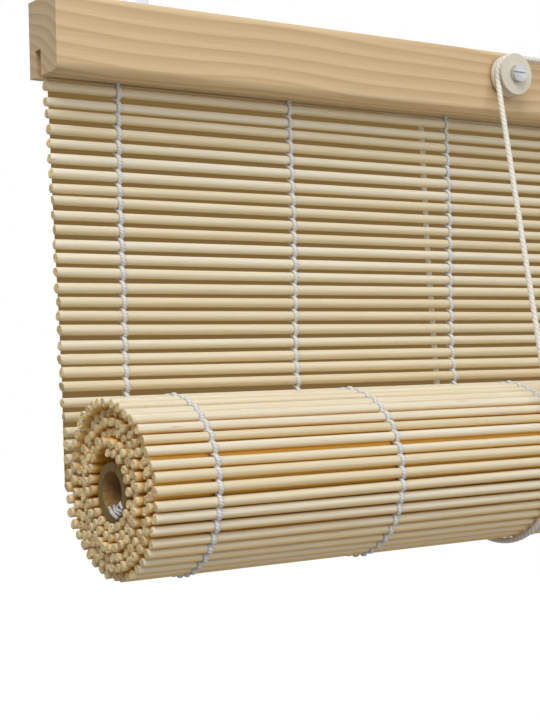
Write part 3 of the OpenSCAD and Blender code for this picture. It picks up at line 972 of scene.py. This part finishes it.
@dataclass
class ThreadColumns:
    """Pairs of cotton strands that twine round every slat, half a turn for each slat.

    Attributes:
        plump: How much wider a strand is where it lies on a slat.
        stand_off: How far a strand's middle stands off the slat's surface.
        wander: How far a column strays sideways in long waves, and jitter from slat to slat.
        shown_turn: Angle round the roll at which its outer turn goes under the hanging mat.
    """

    weave: Weave
    strand_r: float = 1.0
    plump: float = 0.2
    thick: float = 0.6
    stand_off: float = 0.3
    swing: float = 0.22
    squareness: float = 0.6
    wander: float = 0.35
    wander_rate: float = 0.31
    jitter: float = 0.14
    steps: int = 8
    sides: int = 6
    shown_turn: float = 330.0
    seed: int = 17

    def shell(self, first: int, last: int) -> Shell:
        """Builds the strands along a run of slats.

        With t counting slats and p = pi (t + strand), a strand stands off the mat's middle by
        reach sign(cos p) |cos p|^squareness and swings sideways by -swing sin p.

        Args:
            first: First slat of the run.
            last: One past its last slat.

        Returns:
            Two strands for each column.
        """
        w = self.weave
        t = np.linspace(first - 0.5, last - 0.5, (last - first) * self.steps + 1)
        columns, index = np.array(w.columns), np.arange(w.count)
        places = w.spots[:, None, :] + w.sway(columns)
        lines = np.array([[np.interp(t, index, places[:, c, d]) for d in (0, 1)]
                          for c in range(len(columns))])
        normal = np.array([np.interp(t, index, w.outward[:, d]) for d in (0, 1)])
        normal /= np.linalg.norm(normal, axis=0)
        p = np.pi * (t + np.arange(2)[:, None])
        reach = np.interp(t, index, w.girth) + self.stand_off
        lift = np.sign(np.cos(p)) * np.abs(np.cos(p)) ** self.squareness * reach
        wander = self.wander * np.sin(self.wander_rate * t + columns[:, None])
        rng = np.random.default_rng(self.seed)
        jitter = np.array([np.interp(t, index, rng.uniform(-self.jitter, self.jitter, w.count))
                           for _ in columns])
        x = columns[:, None, None] - self.swing * np.sin(p) + (wander + jitter)[:, None, :]
        paths = rows(x, lines[:, None, 0] + lift * normal[0], lines[:, None, 1] + lift * normal[1])
        wide = np.tile(self.strand_r + self.plump * np.abs(np.cos(p)), (len(columns), 1))
        return sweep(paths.reshape(-1, len(t), 3), (1.0, 0.0, 0.0), wide, self.thick, self.sides)

    def last_shown(self) -> int:
        """Number of slats up to where the outer turn goes under the hanging mat."""
        outer = self.weave.angles < np.radians(self.shown_turn)
        return self.weave.straight + int(np.count_nonzero(outer))


@dataclass
class Mat:
    """The woven mat: its hanging part, its roll and the threads that bind them."""

    weave: Weave = field(default_factory=Weave)

    SHOWN: ClassVar[tuple[int, tuple[float, ...]]] = (12, (-0.8, -0.4, 0.0, 0.4, 0.8))
    TUCKED: ClassVar[tuple[int, tuple[float, ...]]] = (10, ())

    def build(self, finishes: Finishes) -> list[Object]:
        """Builds the slats and threads and puts them in place of the mat's solids.

        Args:
            finishes: Finishes of the blind.

        Returns:
            The new pieces.
        """
        slats, threads = SlatSet(self.weave), ThreadColumns(self.weave)
        hung, bound = self.weave.hung_count, threads.last_shown()
        hung_slats = slats.shell(0, hung, *self.SHOWN).piece("hung_slats", finishes.bamboo)
        roll_slats = Shell.joined([
            slats.shell(hung, bound, *self.SHOWN),
            slats.shell(bound, self.weave.count, *self.TUCKED),
        ]).piece("roll_slats", finishes.bamboo)
        hung_threads = threads.shell(0, hung).piece("hung_threads", finishes.thread)
        roll_threads = threads.shell(hung, bound).piece("roll_threads", finishes.thread)
        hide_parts("hung_mat")
        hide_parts("roll_mat")
        for piece, slot in ((hung_slats, Slot.BAMBOO), (roll_slats, Slot.BAMBOO),
                            (hung_threads, Slot.COTTON), (roll_threads, Slot.COTTON)):
            settle(piece)
        return [hung_slats, roll_slats, hung_threads, roll_threads]


@dataclass
class Lashing:
    """Strands that lash the mat to the core: over its rim and into its bore.

    Attributes:
        runs: Each strand's angle on the rim, and the angle and depth of its end in the bore.
        way_point: Share of the way to the bore's edge at which the route has a point on the rim.
        edge_gap: Strand radii from the bore's wall at which a strand turns in, and edge_dip its
            depth there.
    """

    side: Side
    core: Core = Core()
    strand_r: float = 0.52
    runs: tuple[Triple, ...] = (
        (117.0, 76.0, 0.4), (121.0, 55.0, 1.0), (133.0, 50.0, 3.3), (142.0, 49.0, 5.0),
        (148.0, 153.0, 3.0))
    way_point: float = 0.6
    edge_gap: float = 0.5
    edge_dip: float = 0.4
    points: int = 30
    sides: int = 8

    def build(self, finishes: Finishes) -> Object:
        """Builds the strands in place of the lashing's solid.

        A strand goes straight from the rim, where its share is 0, to the bore's wall, where it
        is 1, and lies on the rim's face up to the share at which it crosses the bore's edge.

        Args:
            finishes: Finishes of the blind.

        Returns:
            The piece.
        """
        core, r = self.core, self.strand_r
        rim_angle, bore_angle, depth = np.array(self.runs).T
        on_rim, on_wall = (
            radius * np.stack([np.cos(np.radians(angle)), -np.sin(np.radians(angle))], axis=1)
            for radius, angle in ((core.outer_r - r, rim_angle), (core.bore_r - r, bore_angle)))
        way = on_wall - on_rim
        a, b = np.sum(way * way, axis=1), np.sum(way * on_rim, axis=1)
        c = np.sum(on_rim * on_rim, axis=1) - (core.bore_r - self.edge_gap * r) ** 2
        cross = (-b - np.sqrt(b * b - a * c)) / a
        share = np.stack([np.zeros_like(a), self.way_point * cross, cross, np.ones_like(a)], axis=1)
        flat = on_rim[:, None, :] + share[..., None] * way[:, None, :]
        face = np.full_like(a, core.rim_x + r)
        x = np.stack([face, face, face - self.edge_dip * r, core.rim_x - depth], axis=1)
        paths = rows(self.side.value * x, core.axis_y + flat[..., 0], core.axis_z + flat[..., 1])
        smooth = np.stack([rounded_path(path, self.points) for path in paths])
        shell = sweep(smooth, (0.0, 0.4, 1.0), r, r, self.sides)
        end = self.side.name.lower()
        piece = shell.piece(f"lashing_strands_{end}", finishes.thread)
        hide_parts(f"lashing_{end}")
        settle(piece)
        return piece


@dataclass
class LiftCord:
    """A lift cord: knotted over its saddle, down behind the mat, under the roll, up and over
    its sheave and along to the cord lock.

    Attributes:
        saddle_points: Route over the saddle, as Y from the batten's back and Z from the saddle.
        fall_points: Route behind the mat, as Y from the mat and the share of the fall still to go.
        under_turn: Angle round the roll at which the cord leaves it, from the back and down.
        clear: Gap between the cord and the roll.
        lead: Length of the cord's upright run below the sheave's middle.
    """

    side: Side
    weave: Weave
    cord_x: float = 95.7
    sheave_shift: float = 30.0
    sheave_z: float = -24.0
    sheave_step: float = 3.0
    cord_r: float = 1.25
    wrap_r: float = 8.55
    plane_y: float = -29.3
    back_y: float = -0.6
    saddle_z: float = -32.0
    saddle_points: tuple[Pair, ...] = (
        (3.0, 12.2), (3.0, 10.2), (3.0, 7.7), (2.7, 5.8), (1.4, 3.3), (1.4, -2.7), (1.4, -9.0))
    fall_points: tuple[Pair, ...] = ((7.2, 0.606), (3.6, 0.273), (1.2, 0.085))
    clear: float = 0.3
    under_turn: float = 190.0
    under_points: int = 20
    wrap_points: int = 7
    lead: float = 6.0
    lock_end: float = 242.0
    spacing: float = 1.5
    sides: int = 12
    knot_size: float = 0.62
    knot_flat: float = 0.8
    knot_tall: float = 1.6
    knot_drop: float = 2.4
    knot_r: float = 1.0
    knot_points: int = 73
    knot_sides: int = 8

    def route(self) -> np.ndarray:
        """Points of the cord's middle, as the frame's cord has them.

        Returns:
            XYZ rows from the knot to the cord lock.
        """
        w = self.weave
        x = self.side.value * self.cord_x
        sheave_x = x + self.sheave_shift
        sheave_z = self.sheave_z - self.side.value * self.sheave_step
        top, fall = np.array(self.saddle_points), np.array(self.fall_points)
        turn = np.radians(np.linspace(0.0, self.under_turn, self.under_points))
        reach = w.radius(turn) + w.slat_r + self.cord_r + self.clear
        wrap = np.radians(np.linspace(180.0, 90.0, self.wrap_points))
        return np.concatenate([
            rows(x, self.back_y + top[:, 0], self.saddle_z + top[:, 1]),
            rows(x, w.mat_y + fall[:, 0], w.axis_z + (self.saddle_z - w.axis_z) * fall[:, 1]),
            rows(x, w.axis_y + reach * np.cos(turn), w.axis_z - reach * np.sin(turn)),
            rows([sheave_x - self.wrap_r], self.plane_y, sheave_z - self.lead),
            rows(sheave_x + self.wrap_r * np.cos(wrap), self.plane_y,
                 sheave_z + self.wrap_r * np.sin(wrap)),
            rows([self.lock_end], self.plane_y, sheave_z + self.wrap_r)])

    def build(self, finishes: Finishes) -> list[Object]:
        """Builds the laid cord and its knot in place of the cord's solid.

        The cord is a round tube along the route, and its finish lays the plies round it.

        Args:
            finishes: Finishes of the blind.

        Returns:
            The cord and its knot.
        """
        length = CORD_LENGTHS[self.side]
        middle = rounded_path(self.route(), int(round(length / MM / self.spacing)) + 1)
        end = self.side.name.lower()
        tube = sweep(middle[None], (1.0, 1.0, 0.0), self.cord_r, self.cord_r, self.sides)
        cord = tube.piece(f"lift_cord_{end}_laid", finishes.cord)
        knot = self.knot(middle[0]).piece(f"cord_knot_{end}", finishes.cord)
        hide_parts(f"lift_cord_{end}")
        for piece in (cord, knot):
            settle(piece)
        return [cord, knot]

    def knot(self, top: np.ndarray) -> Shell:
        """An overhand knot: a trefoil line of three turns, pulled tight.

        With q round the knot, the line is sin q + 2 sin 2q, cos q - 2 cos 2q and -sin 3q,
        flattened in Y, stretched in Z and scaled to the knot's size.

        Args:
            top: Upper end of the cord.

        Returns:
            The knot's closed tube.
        """
        q = np.linspace(0.0, FULL_TURN, self.knot_points)
        line = rows(np.sin(q) + 2 * np.sin(2 * q),
                    self.knot_flat * (np.cos(q) - 2 * np.cos(2 * q)),
                    -self.knot_tall * np.sin(3 * q))
        path = top - np.array([0.0, 0.0, self.knot_drop]) + line * self.knot_size
        return sweep(path[None], (0.3, 0.2, 1.0), self.knot_r, self.knot_r, self.knot_sides)


# Carried-over solids


class Dressing:
    """Finishes for the solids that keep their shape."""

    PLAN: dict[Slot, tuple[str, ...]] = {
        Slot.TIMBER: ("head_batten", "clamp_strip"),
        Slot.CARD: ("core_tube",),
        Slot.STEEL: ("hanger_left", "hanger_right", "hanger_screws", "strip_screws",
                     "sheave_stud_left", "sheave_stud_right", "sheave_washers",
                     "cord_saddle_left", "cord_saddle_right"),
        Slot.IVORY: ("sheave_left", "sheave_right", "cord_lock"),
    }

    def apply(self, nodes: dict[str, Object], finishes: Finishes) -> None:
        """Puts a finish on each solid.

        Args:
            nodes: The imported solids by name.
            finishes: Finishes of the blind.
        """
        for slot, names in self.PLAN.items():
            for name in names:
                mesh = nodes[name].data
                mesh.materials.clear()
                mesh.materials.append(getattr(finishes, slot.value))


# Studio


def stand(name: str, data: ID, at: Triple, x: np.ndarray,
          z: np.ndarray) -> Object:
    """Stands a camera or lamp in its place.

    Args:
        name: Its name.
        data: Camera or lamp.
        at: Its place.
        x: Direction of its right side.
        z: Direction of its back, square to x.

    Returns:
        The linked object.
    """
    right, back = unit(x), unit(z)
    pose = np.eye(4)
    pose[:3, :3] = np.stack([right, np.cross(back, right), back], axis=1)
    pose[:3, 3] = np.array(at) * MM
    obj = bpy.data.objects.new(name, data)
    obj.matrix_world = Matrix(pose.tolist())
    bpy.context.scene.collection.objects.link(obj)
    return obj


@dataclass(frozen=True)
class Lamp:
    """A square soft lamp: its place, the point that it faces, its side and its watts."""

    name: str
    at: Triple
    aim: Triple
    side: float
    power: float

    def build(self) -> None:
        """Hangs the lamp level, facing its aim."""
        data = bpy.data.lights.new(self.name, "AREA")
        data.shape = "SQUARE"
        data.size = self.side * MM
        data.energy = self.power
        away = np.array(self.at) - np.array(self.aim)
        stand(self.name, data, self.at, np.cross([0.0, 0.0, 1.0], away), away)


@dataclass
class Studio:
    """Camera, soft light, pale floor and a glowing brown sheet of painted shade behind the hanging mat.

    Attributes:
        patch_edge: Left edge of the painted-shade sheet, as X and Z from above.
        patch_bend: Its other columns, as X and how far each is set back behind the cords.
    """

    focal_px: float = 1435.49
    clip: Pair = (0.01, 50.0)
    camera_at: Triple = (-535.24, -517.28, -155.40)
    right: Triple = (0.8284, -0.5594, -0.0271)
    down: Triple = (-0.0184, 0.0213, -0.9996)
    floor_z: float = -900.0
    floor_reach: float = 12000.0
    floor_colour: Colour = (0.9, 0.9, 0.9)
    floor_glow: float = 1.2
    floor_glow_share: float = 0.8
    patch_edge: tuple[Pair, ...] = (
        (-290.8, -39.0), (-290.3, -57.5), (-289.8, -86.0), (-288.6, -125.5), (-287.8, -157.0),
        (-287.8, -180.5), (-287.7, -198.0))
    patch_y: float = -4.8
    patch_bend: tuple[Pair, ...] = (
        (-125.0, 0.0), (-105.0, 7.8), (105.0, 7.8), (125.0, 0.0), (280.0, 0.0))
    # Painted shade colour of the glowing sheet behind the mat.
    painted_shade_colour: Colour = (0.20, 0.125, 0.045)
    ambient: float = 0.27
    lamps: tuple[Lamp, ...] = (
        Lamp("key", (-950.0, -950.0, 1400.0), (-80.0, -30.0, -150.0), 1400.0, 25.0),
        Lamp("fill", (0.0, -1950.0, 250.0), (0.0, -30.0, -150.0), 1600.0, 13.0),
        Lamp("rear", (700.0, 1800.0, 900.0), (0.0, -10.0, -120.0), 1600.0, 16.0))

    def build(self) -> None:
        """Builds the studio."""
        self.camera()
        self.world()
        self.floor()
        self.painted_shade_patch()
        for lamp in self.lamps:
            lamp.build()

    def camera(self) -> None:
        """Stands the camera at the photograph's viewpoint."""
        data = bpy.data.cameras.new("view")
        data.sensor_fit = "AUTO"
        data.sensor_width = SENSOR
        data.lens = self.focal_px * SENSOR / PHOTO_HEIGHT
        data.clip_start, data.clip_end = self.clip
        right, up = np.array(self.right), -np.array(self.down)
        bpy.context.scene.camera = stand("view", data, self.camera_at, right, np.cross(right, up))

    def world(self) -> None:
        """White to the eye and in reflections, dim as light."""
        world = bpy.data.worlds.new("studio")
        world.use_nodes = True
        kit = NodeKit(world.node_tree)
        ray = kit.add("LightPath", {}).outputs
        seen = kit.maths("MAXIMUM", ray["Is Camera Ray"], ray["Is Transmission Ray"])
        seen = kit.maths("MAXIMUM", seen, ray["Is Glossy Ray"])
        light = kit.add("Background", {"Color": WHITE, "Strength": self.ambient}).outputs[0]
        shown = kit.add("Background", {"Color": WHITE}).outputs[0]
        kit.add("OutputWorld", {"Surface": kit.shade(seen, light, shown)})
        bpy.context.scene.world = world

    def sheet(self, name: str, grid: np.ndarray, material: Material) -> Object:
        """A stage piece through a grid of points.

        Args:
            name: Name of the piece.
            grid: Points in millimetres, as rows from above by columns from the left by XYZ.
            material: Its material.

        Returns:
            The stage object.
        """
        deep, wide, _ = grid.shape
        number = np.arange(deep * wide).reshape(deep, wide)
        quads = np.stack([number[1:, :-1], number[1:, 1:], number[:-1, 1:], number[:-1, :-1]], axis=-1)
        shell = Shell(grid.reshape(-1, 3), quads.reshape(-1, 4), np.zeros((0, 3), int))
        obj = shell.piece(name, material)
        return obj

    def one_sided(self, kit: NodeKit, front: NodeSocket) -> None:
        """Ends a stage material with a shader that is clear from behind.

        Args:
            kit: Nodes of the material.
            front: Shader of the front.
        """
        back = kit.add("NewGeometry", {}).outputs["Backfacing"]
        clear = kit.add("BsdfTransparent", {}).outputs[0]
        kit.add("OutputMaterial", {"Surface": kit.shade(back, front, clear)})

    def floor(self) -> None:
        """A wide pale floor that keeps the blind's soft shadow."""
        material = bpy.data.materials.new("pale_floor")
        material.use_nodes = True
        kit = NodeKit(material.node_tree)
        ray = kit.add("LightPath", {}).outputs
        share = kit.maths("MULTIPLY", ray["Is Camera Ray"], self.floor_glow_share)
        matt = kit.add("BsdfDiffuse", {"Color": self.floor_colour}).outputs[0]
        glow = kit.add("Emission", {"Color": WHITE, "Strength": self.floor_glow}).outputs[0]
        self.one_sided(kit, kit.shade(share, matt, glow))
        side = np.array([-self.floor_reach, self.floor_reach])
        grid = rows(side, side[::-1, None], self.floor_z)
        self.sheet("floor", grid, material).visible_diffuse = False

    def painted_shade_patch(self) -> None:
        """Painted shade: a glowing brown sheet behind the hanging slats, standing in for a shaded wall
        seen from the room through their gaps.
        """
        material = bpy.data.materials.new("painted_shade_wall")
        material.use_nodes = True
        kit = NodeKit(material.node_tree)
        # Painted shade: a flat brown glow that the lamps don't light.
        self.one_sided(kit, kit.add("Emission", {"Color": self.painted_shade_colour}).outputs[0])
        edge, bend = np.array(self.patch_edge), np.array(self.patch_bend)
        grid = np.empty((len(edge), len(bend) + 1, 3))
        grid[:, 0, 0], grid[:, 0, 1] = edge[:, 0], self.patch_y
        grid[:, 1:, :2] = bend + [0.0, self.patch_y]
        grid[:, :, 2] = edge[:, 1:]
        patch = self.sheet("painted_shade_patch", grid, material)
        patch.visible_diffuse = patch.visible_glossy = False
        patch.visible_transmission = patch.visible_shadow = False


def main() -> None:
    """Builds the blind around its frame and sets the studio."""
    logging.basicConfig(level=logging.INFO, format="%(name)s: %(message)s")
    for obj in list(bpy.data.objects):
        bpy.data.objects.remove(obj)
    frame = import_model()
    bpy.context.scene.view_settings.view_transform = "Standard"
    Studio().build()
    finishes = Finishes()
    mat = Mat()
    pieces: list[Object] = []
    for side in Side:
        pieces += LiftCord(side, mat.weave).build(finishes)
    pieces += mat.build(finishes)
    pieces += [Lashing(side).build(finishes) for side in Side]
    Dressing().apply(frame["nodes"], finishes)
    for piece in pieces:
        LOG.info("%s: %d faces", piece.name, len(piece.data.polygons))


if __name__ == "__main__":
    main()
